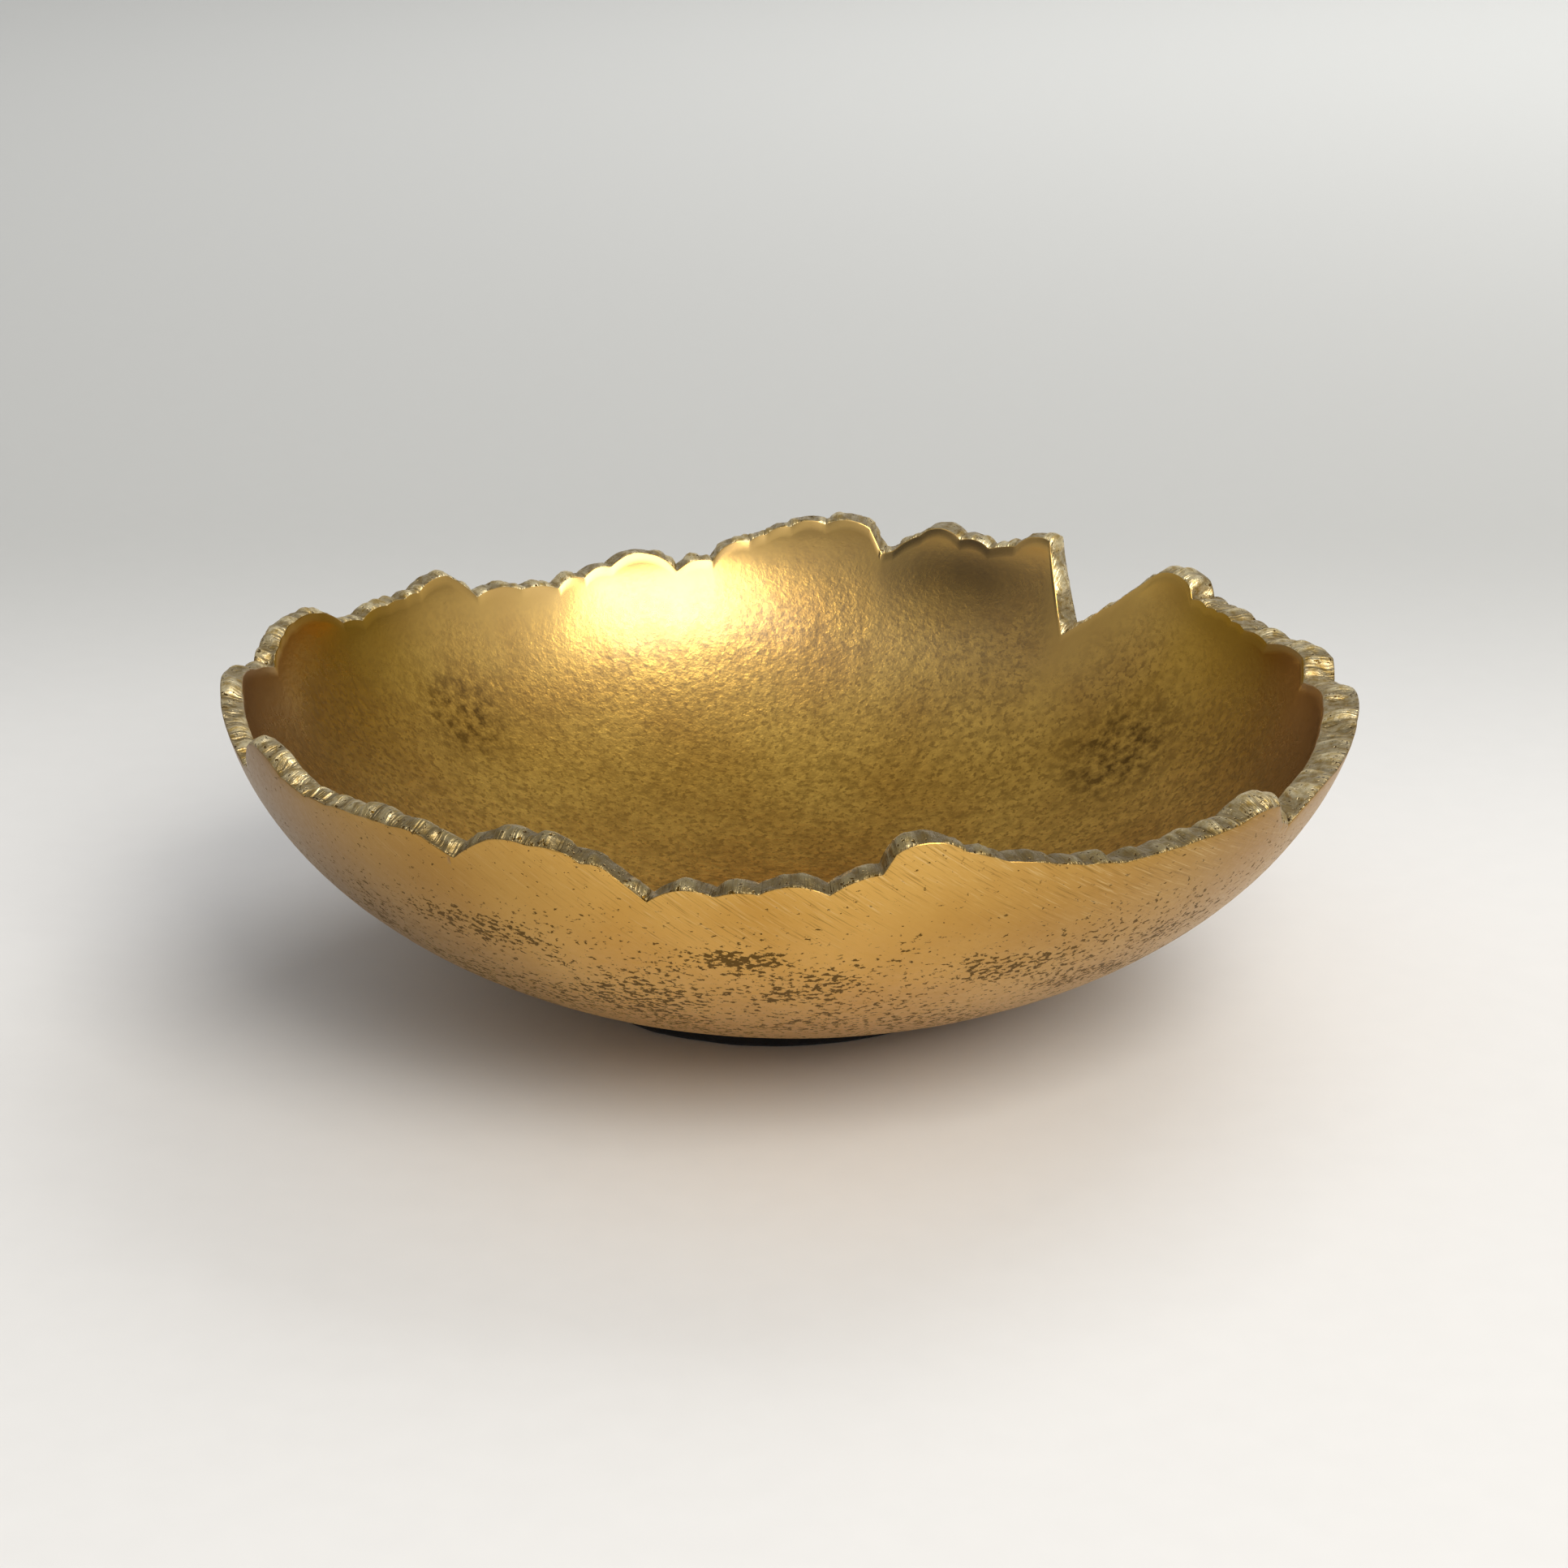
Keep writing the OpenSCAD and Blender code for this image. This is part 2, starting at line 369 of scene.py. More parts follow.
def rim_columns(lines, radius, count):
    """About count lines across the rim, evenly spaced along it, with one in each cusp.

    Returns them with each one's distance along the rim, the rim's length and how deep in a cusp each lies.
    """
    path = lines * [radius, 1, radius, 1]
    run = np.concatenate([[0], np.linalg.norm(np.diff(path, axis=0), axis=1).cumsum()]) / math.sqrt(2)
    fine = np.arange(0, run[-1], 0.0002)

    def at(s):
        laps = np.floor(s / run[-1])
        got = np.stack([np.interp(s - laps * run[-1], run, lines[:, i]) for i in range(4)], axis=-1)
        got[..., [0, 2]] += 2 * math.pi * laps[..., None]
        return got

    reach = 0.0009
    here, before, after = (at(fine + d) * [radius, 1, radius, 1] for d in (0, -reach, reach))
    turn = np.zeros(len(fine))
    for i in (0, 2):
        went = np.arctan2(*(here - before)[:, [i + 1, i]].T)
        goes = np.arctan2(*(after - here)[:, [i + 1, i]].T)
        turn = np.maximum(turn, goes - went)
    window = 7
    peak = np.max([np.roll(turn, k) for k in range(-window, window + 1)], axis=0)
    corners = fine[(turn == peak) & (turn > 0.5)]
    corners = corners[np.concatenate([[True], np.diff(corners) > 0.0012])]
    corners = np.append(corners, corners[0] + run[-1])
    step = run[-1] / count
    places = []
    for start, end in zip(corners[:-1], corners[1:]):
        parts = max(1, round((end - start) / step))
        places += [start + (end - start) * k / parts for k in range(parts)]
    places = np.array(places)
    near = abs(places[:, None] - corners[None, :]).min(1)
    return at(places), places, run[-1], np.exp(-((near / 0.0011) ** 2))


def smooth_round(values, width):
    """A closed row of values, smoothed over about that many places."""
    count = len(values)
    passed = np.exp(-0.5 * (2 * math.pi * np.fft.rfftfreq(count) * width) ** 2)
    return np.fft.irfft(np.fft.rfft(values) * passed, count)


def ease(x):
    x = np.clip(x, 0, 1)
    return x * x * (3 - 2 * x)


def bowl_sheet(shape, casting):
    """The bowl as a closed sheet of rows, before it is bent: each vertex only says where it belongs.

    direction and height say where on the outside of the wall, depth how far through it from 0 to 1,
    and reach how far out from the axis. The other values are for the relief and the finishes.
    """
    base = min(v.co.z for v in casting.data.vertices)
    lines, run, length, cusp = rim_columns(torn_rim(shape, casting), shape.rim_width / 2, shape.columns)
    out_dir, out_top, in_dir, in_top = lines.T
    wall_z, _, hollow_z = hollow_profile(shape, base)
    in_top = np.interp(in_top, hollow_z, wall_z)
    count = len(lines)
    even = 2 * math.pi * np.arange(count) / count
    settled = even + smooth_round((out_dir + in_dir) / 2 - even, 20)

    rows = []

    def row(direction, height, depth, reach=1.0, crown=0.0, below=0.0):
        values = direction, height, depth, reach, crown, below
        rows.append([np.broadcast_to(v, count).astype(float) for v in values])

    for reach in (0.3, 0.62, 0.85, 0.96):
        row(settled, base, 0.0, reach, below=FAR_BELOW)
    up = np.linspace(0, 1, 33)
    up = up**1.25 * (1 - 0.12 * up) / 0.88
    for share in up[:-1]:
        height = base + (out_top - 0.0007 - base) * share
        row(settled + (out_dir - settled) * ease((share - 0.3) / 0.7), height, 0.0, below=out_top - height)
    row(out_dir, out_top - LIP, 0.0, below=LIP)
    row(out_dir, out_top - 0.0002, 0.018, below=0.0001)
    for across in (0.06, 0.13, 0.22, 0.33, 0.44, 0.56, 0.67, 0.78, 0.87, 0.94):
        direction = out_dir + (in_dir - out_dir) * across
        height = out_top + (in_top - out_top) * across
        row(direction, height, across, crown=1 - abs(2 * across - 1) ** 2.2)
    row(in_dir, in_top - 0.0002, 0.982, below=0.0001)
    row(in_dir, in_top - LIP, 1.0, below=LIP)
    down = np.linspace(1, 0, 29)
    down = down**1.2 * (1 - 0.1 * down) / 0.9
    for share in down[1:]:
        height = base + (in_top - 0.0007 - base) * share
        row(settled + (in_dir - settled) * ease((share - 0.3) / 0.7), height, 1.0, below=in_top - height)
    for reach in (0.94, 0.84, 0.68, 0.46, 0.22):
        row(settled, base, 1.0, reach, below=FAR_BELOW)

    table = np.array(rows)
    total = len(rows)
    values = table.transpose(0, 2, 1).reshape(-1, 6)
    poles = np.array([[0, base, 0, 0, 0, FAR_BELOW], [0, base, 1, 0, 0, FAR_BELOW]])
    values = np.vstack([values, poles])
    along = np.append(np.tile(2 * math.pi * run / length, total), [0, 0])
    in_cusp = np.append(np.tile(cusp, total), [0, 0])

    i, j = np.meshgrid(np.arange(total - 1), np.arange(count), indexing="ij")
    k = (j + 1) % count
    near, far = i * count, (i + 1) * count
    quads = np.stack([near + j, near + k, far + k, far + j], axis=-1).reshape(-1, 4)
    under, floor, last = total * count, total * count + 1, (total - 1) * count
    fans = [(under, (a + 1) % count, a) for a in range(count)]
    fans += [(floor, last + a, last + (a + 1) % count) for a in range(count)]
    places = np.stack([np.cos(values[:, 0]), np.sin(values[:, 0]), values[:, 1]], axis=1)
    mesh = bpy.data.meshes.new("bowl_sheet")
    mesh.from_pydata(places.tolist(), [], quads.tolist() + fans)
    named = zip(("direction", "height", "depth", "reach", "crown", "below_rim"), values.T)
    for name, column in [*named, ("rim_turn", along), ("cusp", in_cusp)]:
        layer = mesh.attributes.new(name, "FLOAT", "POINT")
        layer.data.foreach_set("value", column.astype(np.float32))
    return mesh, length


# ------------------------ the bent casting


def casting_tree(shape, rim_length, finishes):
    """Geometry Nodes that bend the sheet to the round of the wall, raise the relief and give the finishes."""
    tree = bpy.data.node_groups.new("cast_bowl", "GeometryNodeTree")
    face = tree.interface
    face.new_socket("Sheet", in_out="INPUT", socket_type="NodeSocketGeometry")
    sizes = {
        "Widest Radius": shape.rim_width / 2 / shape.rim_share,
        "Spring Radius": shape.spring_radius,
        "Round Top": shape.round_top,
        "Round Base": shape.round_base,
        "Round Power": shape.round_power,
        "Wall": shape.wall,
        "Core Shift X": core_offset(shape)[0],
        "Core Shift Y": core_offset(shape)[1],
        "Floor Dish": shape.floor_dish,
        "Swell": shape.swell,
        "Swell Size": shape.swell_size,
        "Dimples": shape.dimple,
        "Dimple Size": shape.dimple_size,
        "Crown": shape.crown,
        "Ridges": shape.ridge,
        "Ridge Spacing": shape.ridge_size,
        "Knuckles": shape.knuckle,
        "Knuckle Spacing": shape.knuckle_size,
        "Rim Length": rim_length,
        "Seed": shape.seed,
    }
    keys = {}
    for name in sizes:
        keys[name] = face.new_socket(name, in_out="INPUT", socket_type="NodeSocketFloat").identifier
    face.new_socket("Bowl", in_out="OUTPUT", socket_type="NodeSocketGeometry")
    sheet, *given = add(tree, "NodeGroupInput", out=None)
    values = dict(zip(sizes, given))
    for name in ("direction", "height", "depth", "reach", "crown", "rim_turn", "below_rim"):
        values[name] = add(tree, "GeometryNodeInputNamedAttribute", {"Name": name}, data_type="FLOAT")

    def work_out(lines):
        """Each line is result, operation, first value and second value."""
        for name, operation, a, b in lines:
            terms = {0: values.get(a, a), 1: values.get(b, b)}
            values[name] = add(tree, "ShaderNodeMath", terms, operation=operation)

    wall = (
        # r = spring + (widest - spring) * (1 - rise^2)^power
        ("span", "SUBTRACT", "Round Top", "Round Base"),
        ("drop", "SUBTRACT", "Round Top", "height"),
        ("rise", "DIVIDE", "drop", "span"),
        ("rise squared", "MULTIPLY", "rise", "rise"),
        ("rest", "SUBTRACT", 1.0, "rise squared"),
        ("throw", "SUBTRACT", "Widest Radius", "Spring Radius"),
        ("round", "POWER", "rest", "Round Power"),
        ("round", "MULTIPLY", "throw", "round"),
        ("radius", "ADD", "Spring Radius", "round"),
        # the flare is how far the wall leans out, and the step goes inwards through the wall
        ("less", "SUBTRACT", "Round Power", 1.0),
        ("slope", "POWER", "rest", "less"),
        ("slope", "MULTIPLY", "slope", "Round Power"),
        ("slope", "MULTIPLY", "slope", "throw"),
        ("fall", "MULTIPLY", "rise", 2.0),
        ("fall", "DIVIDE", "fall", "span"),
        ("flare", "MULTIPLY", "slope", "fall"),
        ("flare squared", "MULTIPLY", "flare", "flare"),
        ("lean", "ADD", "flare squared", 1.0),
        ("lean", "SQRT", "lean", 0.0),
        ("step", "MULTIPLY", "depth", "Wall"),
        ("step", "DIVIDE", "step", "lean"),
        ("out", "SUBTRACT", "radius", "step"),
        ("out", "MULTIPLY", "out", "reach"),
        # the floor of the hollow dips towards its middle
        ("dip", "POWER", "reach", 4.3),
        ("dip", "SUBTRACT", 1.0, "dip"),
        ("dip", "MULTIPLY", "dip", "depth"),
        ("dip", "MULTIPLY", "dip", "Floor Dish"),
        ("z", "MULTIPLY", "step", "flare"),
        ("z", "ADD", "z", "height"),
        ("z", "SUBTRACT", "z", "dip"),
        ("x", "COSINE", "direction", 0.0),
        ("x", "MULTIPLY", "x", "out"),
        ("shift x", "MULTIPLY", "depth", "Core Shift X"),
        ("x", "ADD", "x", "shift x"),
        ("y", "SINE", "direction", 0.0),
        ("y", "MULTIPLY", "y", "out"),
        ("shift y", "MULTIPLY", "depth", "Core Shift Y"),
        ("y", "ADD", "y", "shift y"),
        # a loop as long as the rim, which the patterns of the tear are laid on
        ("loop", "DIVIDE", "Rim Length", 2 * math.pi),
        ("loop x", "COSINE", "rim_turn", 0.0),
        ("loop x", "MULTIPLY", "loop x", "loop"),
        ("loop y", "SINE", "rim_turn", 0.0),
        ("loop y", "MULTIPLY", "loop y", "loop"),
        ("loop z", "MULTIPLY", "depth", 0.0045),
        ("swells", "DIVIDE", 1.0, "Swell Size"),
        ("dimples", "DIVIDE", 1.0, "Dimple Size"),
        ("ridges", "DIVIDE", 1.0, "Ridge Spacing"),
        ("knuckles", "DIVIDE", 1.0, "Knuckle Spacing"),
    )
    work_out(wall)
    place = add(tree, "ShaderNodeCombineXYZ", {0: values["x"], 1: values["y"], 2: values["z"]})
    bent = add(tree, "GeometryNodeSetPosition", {"Geometry": sheet, "Position": place})

    # the relief, along the normal: a slow swell, dimples inside, and knuckles with ridges on the tear
    position = add(tree, "GeometryNodeInputPosition")
    loop = add(tree, "ShaderNodeCombineXYZ", {0: values["loop x"], 1: values["loop y"], 2: values["loop z"]})
    for name, where, detail in (("swells", position, 1.5), ("dimples", position, 2.0), ("ridges", loop, 3.0)):
        pattern = {"Vector": where, "W": values["Seed"], "Scale": values[name], "Detail": detail}
        values[name] = add(tree, "ShaderNodeTexNoise", pattern, noise_dimensions="4D")
    pattern = {"Vector": loop, "W": values["Seed"], "Scale": values["knuckles"], "Randomness": 0.8}
    values["knuckles"] = add(tree, "ShaderNodeTexVoronoi", pattern, "Distance", voronoi_dimensions="4D")
    for name, start, end, most in (("off edge", 0.0, 0.012, 1.0), ("inside", 0.004, 0.03, values["depth"])):
        ramp = {0: values["below_rim"], 1: start, 2: end, 3: 0.0, 4: most}
        values[name] = add(tree, "ShaderNodeMapRange", ramp)
    relief = (
        ("swells", "SUBTRACT", "swells", 0.5),
        ("swells", "MULTIPLY", "swells", "Swell"),
        ("swells", "MULTIPLY", "swells", "off edge"),
        ("dimples", "SUBTRACT", "dimples", 0.5),
        ("dimples", "MULTIPLY", "dimples", "Dimples"),
        ("dimples", "MULTIPLY", "dimples", "inside"),
        ("ridges", "SUBTRACT", "ridges", 0.5),
        ("ridges", "MULTIPLY", "ridges", "Ridges"),
        ("crease", "MULTIPLY", "knuckles", "knuckles"),
        ("knuckles", "SUBTRACT", 0.25, "crease"),
        ("knuckles", "MULTIPLY", "knuckles", "Knuckles"),
        ("tear", "ADD", "ridges", "knuckles"),
        ("tear", "ADD", "tear", "Crown"),
        ("tear", "MULTIPLY", "tear", "crown"),
        ("lift", "ADD", "swells", "dimples"),
        ("lift", "ADD", "lift", "tear"),
    )
    work_out(relief)
    normal = add(tree, "GeometryNodeInputNormal")
    offset = add(tree, "ShaderNodeVectorMath", {0: normal, "Scale": values["lift"]}, operation="SCALE")
    raised = add(tree, "GeometryNodeSetPosition", {"Geometry": bent, "Offset": offset})

    crease = {"Geometry": raised, "Name": "crease", "Value": values["crease"]}
    marked = add(tree, "GeometryNodeStoreNamedAttribute", crease, data_type="FLOAT", domain="POINT")
    shaded = add(tree, "GeometryNodeSetShadeSmooth", {0: marked})
    real = add(tree, "GeometryNodeRealizeInstances", {0: shaded})
    wall_metal, torn_metal, hollow_metal = finishes
    real = add(tree, "GeometryNodeSetMaterial", {"Geometry": real, "Material": torn_metal})
    for side, share, metal in (("LESS_THAN", 0.012, wall_metal), ("GREATER_THAN", 0.988, hollow_metal)):
        chosen = add(tree, "FunctionNodeCompare", {0: values["depth"], 1: share}, operation=side)
        finish = {"Geometry": real, "Selection": chosen, "Material": metal}
        real = add(tree, "GeometryNodeSetMaterial", finish)
    add(tree, "NodeGroupOutput", {0: real}, None)
    return tree, {keys[name]: size for name, size in sizes.items()}


def grown(name, mesh, tree, sizes):
    """The mesh after the tree, as a plain mesh of its own."""
    seedling = bpy.data.objects.new(name, mesh)
    bpy.context.scene.collection.objects.link(seedling)
    modifier = seedling.modifiers.new(name, "NODES")
    modifier.node_group = tree
    for key, size in sizes.items():
        modifier[key] = size
    graph = bpy.context.evaluated_depsgraph_get()
    result = bpy.data.meshes.new_from_object(seedling.evaluated_get(graph), depsgraph=graph)
    result.name = name
    seedling.modifiers.clear()
    bpy.data.objects.remove(seedling)
    bpy.data.meshes.remove(mesh)
    return result


# ------------------------ the finishes


def cast_wall_brass(finish):
    """Sand-cast brass, fettled with a belt and lacquered: bright gold with dark pits in drifts."""
    material, tree, place = new_material("cast_brass_fettled")
    x, y, z = add(tree, "ShaderNodeSeparateXYZ", {0: place}, None)
    below = add(tree, "ShaderNodeAttribute", out="Fac", attribute_name="below_rim")
    # 35 mm clouds of lacquer
    clouds = add(tree, "ShaderNodeTexNoise", {"Vector": place, "Scale": 1 / 0.035, "Detail": 3.0})
    clouds = add(tree, "ShaderNodeMapRange", {0: clouds, 1: 0.35, 2: 0.68})
    colour = add(
        tree, "ShaderNodeMix", {0: clouds, 6: finish.brass, 7: finish.deep_brass}, 2, data_type="RGBA"
    )
    # browner towards the left end and, less so, the right
    left = add(tree, "ShaderNodeMapRange", {0: x, 1: -0.04, 2: -0.13, 3: 0.0, 4: 0.95})
    right = add(tree, "ShaderNodeMapRange", {0: x, 1: 0.015, 2: 0.1, 3: 0.0, 4: 0.62})
    sides = add(tree, "ShaderNodeMath", {0: left, 1: right}, operation="MAXIMUM")
    colour = add(tree, "ShaderNodeMix", {0: sides, 6: colour, 7: linear("#7F6136")}, 2, data_type="RGBA")
    # pits about 1.4 mm long and 0.7 mm high in drifts, most of them up to 50 mm, and two thick drifts
    flat = add(tree, "ShaderNodeMapping", {"Vector": place, "Scale": (1.0, 1.0, 1.6)})
    pits = add(
        tree, "ShaderNodeTexNoise", {"Vector": flat, "Scale": 1 / 0.0017, "Detail": 4.0, "Roughness": 0.6}
    )
    drifts = add(tree, "ShaderNodeTexNoise", {"Vector": flat, "Scale": 1 / 0.024, "Detail": 3.0})
    drifts = add(tree, "ShaderNodeMapRange", {0: drifts, 1: 0.38, 2: 0.62, 3: 0.045, 4: 0.15})
    low = add(tree, "ShaderNodeMapRange", {0: z, 1: 0.052, 2: 0.07, 3: 1.0, 4: 0.0})
    bare = add(tree, "ShaderNodeMapRange", {0: z, 1: 0.008, 2: 0.03, 3: 0.6, 4: 1.0})
    low = add(tree, "ShaderNodeMath", {0: low, 1: bare}, operation="MULTIPLY")
    level = add(tree, "ShaderNodeMath", {0: drifts, 1: low}, operation="MULTIPLY")
    for spot, size, most in (
        ((-0.012, -0.138, 0.0575), (0.014, 0.03, 0.0035), 0.2),
        ((-0.074, -0.116, 0.0575), (0.022, 0.03, 0.0065), 0.14),
    ):
        thick = add(tree, "ShaderNodeVectorMath", {0: place, 1: spot}, operation="SUBTRACT")
        thick = add(tree, "ShaderNodeVectorMath", {0: thick, 1: size}, operation="DIVIDE")
        thick = add(tree, "ShaderNodeVectorMath", {0: thick}, "Value", operation="LENGTH")
        thick = add(tree, "ShaderNodeMapRange", {0: thick, 1: 0.5, 2: 1.3, 3: most, 4: 0.0})
        level = add(tree, "ShaderNodeMath", {0: level, 1: thick}, operation="MAXIMUM")
    pits = add(tree, "ShaderNodeMath", {0: pits, 1: level}, operation="ADD")
    pits = add(tree, "ShaderNodeMapRange", {0: pits, 1: 0.648, 2: 0.68})
    dark = add(tree, "ShaderNodeMath", {0: pits, 1: 0.92}, operation="MULTIPLY")
    # painted reflection: a thin pale tint, denser towards the foot, for the bright floor that the low wall
    # reflects
    floor_shine = add(
        tree, "ShaderNodeTexNoise", {"Vector": flat, "Scale": 1 / 0.004, "Detail": 5.0, "Roughness": 0.7}
    )
    foot = add(tree, "ShaderNodeMapRange", {0: z, 1: 0.012, 2: 0.07, 3: 0.42, 4: 0.0})
    floor_shine = add(tree, "ShaderNodeMapRange", {0: floor_shine, 1: 0.4, 2: 0.62, 3: 0.25, 4: 1.0})
    floor_shine = add(tree, "ShaderNodeMath", {0: floor_shine, 1: foot}, operation="MULTIPLY")
    colour = add(tree, "ShaderNodeMix", {0: floor_shine, 6: colour, 7: linear("#F2CF98")}, 2, data_type="RGBA")
    colour = add(tree, "ShaderNodeMix", {0: dark, 6: colour, 7: finish.tarnish_and_shade}, 2, data_type="RGBA")
    # belt marks 0.4 mm wide and 12 mm long that fall to the right across the front, in the top 25 mm
    turned = add(
        tree, "ShaderNodeMapping",
        {"Vector": place, "Rotation": (0.0, math.radians(-38), 0.0)}, vector_type="POINT",
    )
    turned = add(
        tree, "ShaderNodeVectorMath", {0: turned, 1: (1 / 0.009, 1 / 0.02, 1 / 0.0004)}, operation="MULTIPLY"
    )
    marks = add(tree, "ShaderNodeTexNoise", {"Vector": turned, "Scale": 1.0, "Detail": 3.0, "Roughness": 0.6})
    top = add(tree, "ShaderNodeMapRange", {0: below, 1: 0.009, 2: 0.02, 3: 1.0, 4: 0.1})
    front = add(tree, "ShaderNodeMapRange", {0: y, 1: -0.12, 2: -0.09, 3: 1.0, 4: 0.3})
    top = add(tree, "ShaderNodeMath", {0: top, 1: front}, operation="MULTIPLY")
    middle = add(tree, "ShaderNodeMapRange", {0: x, 1: -0.07, 2: -0.03, 3: 0.3, 4: 1.0})
    top = add(tree, "ShaderNodeMath", {0: top, 1: middle}, operation="MULTIPLY")
    scored = add(tree, "ShaderNodeMapRange", {0: marks, 1: 0.56, 2: 0.68, 3: 0.0, 4: 0.42})
    scored = add(tree, "ShaderNodeMath", {0: scored, 1: top}, operation="MULTIPLY")
    colour = add(tree, "ShaderNodeMix", {0: scored, 6: colour, 7: finish.tarnish_and_shade}, 2, data_type="RGBA")
    bright = add(tree, "ShaderNodeMapRange", {0: marks, 1: 0.42, 2: 0.32, 3: 0.0, 4: 0.3})
    bright = add(tree, "ShaderNodeMath", {0: bright, 1: top}, operation="MULTIPLY")
    colour = add(tree, "ShaderNodeMix", {0: bright, 6: colour, 7: linear("#F4DCA4")}, 2, data_type="RGBA")
    mark_height = add(tree, "ShaderNodeMath", {0: marks, 1: top}, operation="MULTIPLY")
    grain = add(
        tree, "ShaderNodeTexNoise", {"Vector": place, "Scale": 1 / 0.0014, "Detail": 4.0, "Roughness": 0.6}
    )
    roughness = add(tree, "ShaderNodeMapRange", {0: grain, 1: 0.3, 2: 0.7, 3: 0.32, 4: 0.42})
    roughness = add(tree, "ShaderNodeMath", {0: pits, 1: 0.2, 2: roughness}, operation="MULTIPLY_ADD")
    relief = (0.25, 0.0002, grain, False), (0.25, 0.0003, mark_height, False), (0.7, 0.0004, pits, True)
    return finished(material, colour, roughness, relief, Metallic=1.0)


def torn_rim_brass(finish):
    """Torn cast brass, left as it broke: pale, coarse and glinting, with open pores."""
    material, tree, place = new_material("torn_brass_raw")
    y = add(tree, "ShaderNodeSeparateXYZ", {0: place}, "Y")
    cusp = add(tree, "ShaderNodeAttribute", out="Fac", attribute_name="cusp")
    across = add(tree, "ShaderNodeAttribute", out="Fac", attribute_name="depth")
    # grains of 1.5 mm and pores of 0.8 mm, most of them along the outer edge, where they help paint a thin
    # dark shade line
    grains = add(
        tree, "ShaderNodeTexNoise", {"Vector": place, "Scale": 1 / 0.0022, "Detail": 4.0, "Roughness": 0.65}
    )
    shade = add(tree, "ShaderNodeMapRange", {0: grains, 1: 0.36, 2: 0.6})
    colour = add(
        tree, "ShaderNodeMix", {0: shade, 6: linear("#BFA260"), 7: finish.torn_metal}, 2, data_type="RGBA"
    )
    # painted shade: greyer and darker along the front, where the torn face tilts away from the light
    front_shade = add(tree, "ShaderNodeMapRange", {0: y, 1: -0.125, 2: -0.09, 3: 0.75, 4: 0.0})
    colour = add(tree, "ShaderNodeMix", {0: front_shade, 6: colour, 7: linear("#97855A")}, 2, data_type="RGBA")
    # ridges 1.2 mm apart that run across the tear
    flat = add(tree, "ShaderNodeVectorMath", {0: place, 1: (1.0, 1.0, 0.0)}, operation="MULTIPLY")
    around = add(tree, "ShaderNodeVectorMath", {0: flat}, operation="NORMALIZE")
    ridges = add(
        tree, "ShaderNodeTexNoise",
        {"Vector": around, "Scale": 0.15 / 0.0022, "Detail": 3.0, "Roughness": 0.6},
    )
    pores = add(tree, "ShaderNodeTexNoise", {"Vector": place, "Scale": 1 / 0.0011, "Detail": 2.0})
    edge = add(tree, "ShaderNodeMapRange", {0: across, 1: 0.05, 2: 0.4, 3: 0.07, 4: 0.0})
    pores = add(tree, "ShaderNodeMath", {0: pores, 1: edge}, operation="ADD")
    pores = add(tree, "ShaderNodeMapRange", {0: pores, 1: 0.63, 2: 0.69})
    # painted shade: a dark band along the outer edge of the tear
    edge_shade = add(tree, "ShaderNodeMapRange", {0: across, 1: 0.03, 2: 0.1, 3: 0.6, 4: 0.0})
    # patina and painted shade: darker in the cusps and in the creases between the knuckles
    crease = add(tree, "ShaderNodeAttribute", out="Fac", attribute_name="crease")
    crease = add(tree, "ShaderNodeMapRange", {0: crease, 1: 0.18, 2: 0.36, 3: 0.0, 4: 0.5})
    dark = add(tree, "ShaderNodeMath", {0: cusp, 1: 0.6}, operation="MULTIPLY")
    dark = add(tree, "ShaderNodeMath", {0: dark, 1: crease}, operation="MAXIMUM")
    dark = add(tree, "ShaderNodeMath", {0: dark, 1: pores}, operation="MAXIMUM")
    dark = add(tree, "ShaderNodeMath", {0: dark, 1: edge_shade}, operation="MAXIMUM")
    colour = add(tree, "ShaderNodeMix", {0: dark, 6: colour, 7: finish.tarnish_and_shade}, 2, data_type="RGBA")
    roughness = add(tree, "ShaderNodeMapRange", {0: grains, 1: 0.35, 2: 0.65, 3: 0.48, 4: 0.3})
    relief = (0.7, 0.0005, grains, False), (1.0, 0.0014, ridges, False), (0.6, 0.0004, pores, True)
    return finished(material, colour, roughness, relief, Metallic=1.0)


